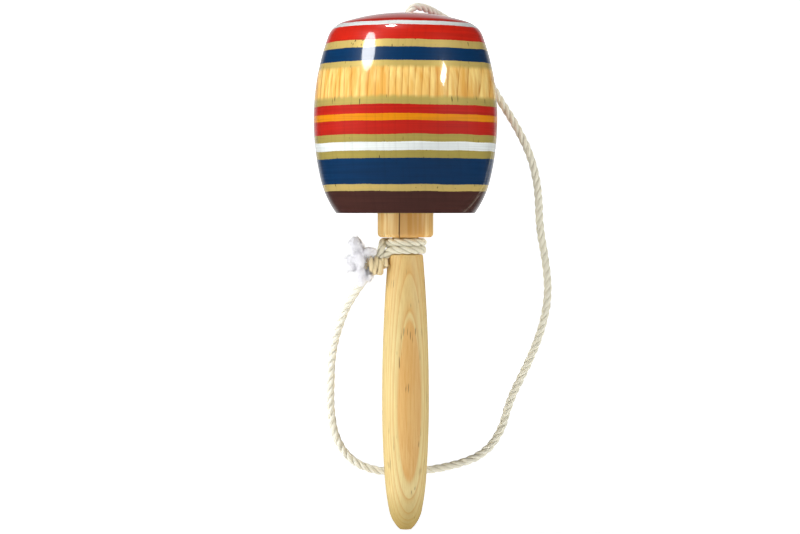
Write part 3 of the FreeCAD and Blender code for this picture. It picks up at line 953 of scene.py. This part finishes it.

# %% [markdown]
# ## Cotton
#
# Cotton cord is matt and a little see-through. It is cream on the strands. A grey-green painted
# shade darkens the grooves between them, where less light gets in, and the strands towards the
# toy's right side. The groove attribute that was written when the rope was laid places the
# painted shade in the grooves, and fine noise gives the yarns. The turns on the neck have darker
# strands and a darker painted shade in their grooves than the loop, and the knot has yellower
# strands and a browner painted shade, so each has its own shades of the same finish.

# %% Cotton materials
# deep is the colour of the painted shade: in the grooves, and on the strands towards the right.
def cotton_cord(name, clean, soiled, deep):
    bench = Bench(name)
    place = bench.place()
    x, _, _ = bench.split(place)
    groove = bench.node("ShaderNodeAttribute", {"attribute_name": "groove"}, output=2)
    fluff = bench.noise(place, scale=2.6, detail=4.0, roughness=0.7)
    soil = bench.noise(place, scale=0.05, detail=2.0)
    strand = bench.mix(soil, clean, soiled)
    # Painted shade: the strands darken towards the toy's right side, away from the key lamp.
    strand = bench.mix(bench.between(x, 10.0, 45.0, 0.0, 0.35), strand, deep)
    # Painted shade in the grooves between the strands.
    shaded = bench.mix(bench.between(groove, 0.3, 1.1), strand, deep)
    shaded = bench.mix(bench.between(fluff, 0.35, 0.7, 0.0, 0.2), shaded, deep)
    return bench.finish(
        base_color=shaded,
        roughness=0.9,
        sheen_weight=0.25,
        subsurface_weight=0.3,
        subsurface_radius=(1.0, 1.0, 1.0),
        subsurface_scale=0.0008,
        normal=bench.bump(fluff, 0.5, 0.0002),
    )


def loose_cotton():
    bench = Bench("loose_cotton")
    place = bench.place()
    fluff = bench.noise(place, scale=1.4, detail=5.0, roughness=0.7)
    colour = bench.mix(fluff, paint(241, 241, 247), paint(233, 232, 234))
    return bench.finish(
        base_color=colour,
        roughness=0.95,
        sheen_weight=0.4,
        subsurface_weight=1.0,
        subsurface_radius=(1.0, 1.0, 1.0),
        subsurface_scale=0.003,
        normal=bench.bump(fluff, 0.6, 0.0003),
    )


cotton = cotton_cord(
    "cotton_cord", paint(250, 248, 236), paint(243, 239, 220), paint(204, 197, 168)
)
# The turns on the neck: darker strands and a darker painted shade in the grooves.
wound_cotton = cotton_cord(
    "wound_cotton", paint(240, 236, 214), paint(228, 221, 194), paint(146, 138, 104)
)
# The knot: yellower strands and a browner painted shade in the grooves.
hard_cotton = cotton_cord(
    "hard_cotton", paint(248, 232, 190), paint(230, 206, 156), paint(156, 126, 78)
)
fluffy = loose_cotton()
for piece in (cord, stopper):
    dress(piece, cotton)
dress(winding, wound_cotton)
dress(knot, hard_cotton)
for piece in (tuft, fibres):
    dress(piece, fluffy)
print("cotton finishes ready")

# %% [markdown]
# ## Light and floor
#
# The toy stands in front of white, with a bright lamp high on the left, a softer one overhead and
# a weak one on the right. Gloss lacquer is a mirror, so each lamp shows in it as a patch of the
# lamp's own shape, and the lamps' sizes and places matter more than their number. Two big lamps
# at the sides only fill in: mirrors don't see them. The room is white behind the toy, which gives
# the thin pale rim that lacquer has where it is seen edge on, and dark in front, so that the dark
# paints aren't washed out. A big white ball round everything is what the camera sees behind the
# toy. A hand holds the toy, so the pale floor is a little under its tip.

# %% Lamps
def softbox(name, toward, distance, width, height, watts, aim_at, shape="RECTANGLE", lean=0.0):
    data = bpy.data.lights.new(name, "AREA")
    data.shape = shape
    data.size, data.size_y = width, height
    data.energy = watts
    lamp = bpy.data.objects.new(name, data)
    bpy.context.scene.collection.objects.link(lamp)
    lamp.location = Vector(aim_at) + Vector(toward).normalized() * distance
    facing = Vector(toward).to_track_quat("Z", "Y")
    lamp.rotation_euler = (facing @ Quaternion((0, 0, 1), math.radians(lean))).to_euler()
    lamp.visible_camera = False
    return lamp


# name, direction, distance, width, height, watts, what it points at, shape, lean
softbox(
    "key", (-0.715, -0.47, 0.514), 1.2, 0.36, 0.42, 6.8, (-0.015, -0.03, 0.131), "ELLIPSE", 48.0
)
softbox("top", (-0.238, -0.219, 0.947), 1.2, 0.22, 0.22, 7.2, (-0.005, -0.028, 0.14), "DISK")
softbox(
    "right", (0.66, -0.52, 0.32), 1.4, 0.13, 0.26, 3.6, (0.015, -0.031, 0.12), "RECTANGLE", -45.0
)
for side, watts in ((0.95, 7.6), (-0.95, 13.0)):
    fill = softbox("fill", (side, -0.2, -0.05), 1.3, 0.9, 0.9, watts, (0.0, 0.0, 0.05))
    fill.visible_glossy = False

# %% Room and floor
world = bpy.data.worlds.new("white_room")
bpy.context.scene.world = world
room = Bench("white_room", world)
_, depth, _ = room.split(room.node("ShaderNodeTexCoord", output="Generated"))
room.finish(color=(1.0, 1.0, 1.0, 1.0), strength=room.between(depth, 0.8, 1.0, 0.03, 0.75))


NEAR, FAR = 150.0, 1100.0  # millimetres from the toy


def stage_piece(name, shape, near_glow, far_glow):
    """A white piece of the studio. Far from the lamps it has more light of its own."""
    mesh = bpy.data.meshes.new(name)
    shape.to_mesh(mesh)
    shape.free()
    piece = bpy.data.objects.new(name, mesh)
    bpy.context.scene.collection.objects.link(piece)
    bench = Bench(name)
    x, y, _ = bench.split(bench.place())
    glow = bench.between((x * x + y * y) ** 0.5, NEAR, FAR, near_glow, far_glow)
    bench.finish(
        base_color=(0.8, 0.8, 0.8, 1.0),
        roughness=0.9,
        emission_color=bench.join(glow, glow, glow),
        emission_strength=1.0,
    )
    dress(piece, bench.material)
    piece.visible_glossy = False
    return piece


FLOOR_Z = -85.0 * MM
shape = bmesh.new()
bmesh.ops.create_grid(shape, x_segments=1, y_segments=1, size=2.9)
bmesh.ops.translate(shape, vec=(0.0, 0.0, FLOOR_Z), verts=shape.verts[:])
stage_piece("floor", shape, 0.42, 1.15)

shape = bmesh.new()
bmesh.ops.create_icosphere(shape, subdivisions=4, radius=4.2)
ball = stage_piece("white_ball", shape, 1.0, 1.1)
ball.visible_diffuse = ball.visible_shadow = False

bpy.context.scene.view_settings.view_transform = "Standard"
print("room and floor ready")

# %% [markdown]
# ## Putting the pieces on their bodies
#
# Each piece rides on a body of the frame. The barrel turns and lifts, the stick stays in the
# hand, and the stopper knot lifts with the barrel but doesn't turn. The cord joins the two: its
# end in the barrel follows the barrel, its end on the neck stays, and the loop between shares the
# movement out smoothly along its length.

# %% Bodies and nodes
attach(barrel, "barrel")
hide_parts("barrel")
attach(stick, "stick")
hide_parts("stick")
for piece, node in ((winding, "neck_winding"), (knot, "neck_knot"), (tuft, "frayed_end")):
    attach(piece, "stick")
    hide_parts(node)
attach(fibres, "stick")
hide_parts("frayed_end")
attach(stopper, "cord_end")
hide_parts("stopper_knot")

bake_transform(cord, "stick", "cord_end", start=(0.0, 0.0, 0.049), end=(0.0, 0.0, 0.124))
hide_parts("cord_loop")
STILL, SHARED = 0.24, 0.72  # of the cord's length: what stays, and what shares the movement
follow = cord.data.attributes["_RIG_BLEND"]
travel = cord.data.attributes["along"]
for vertex in cord.data.vertices:
    gone = travel.data[vertex.index].value
    share = min(1.0, max(0.0, (gone - STILL) / SHARED))
    follow.data[vertex.index].value = 1.0 - share * share * (3 - 2 * share)
print("pieces placed")
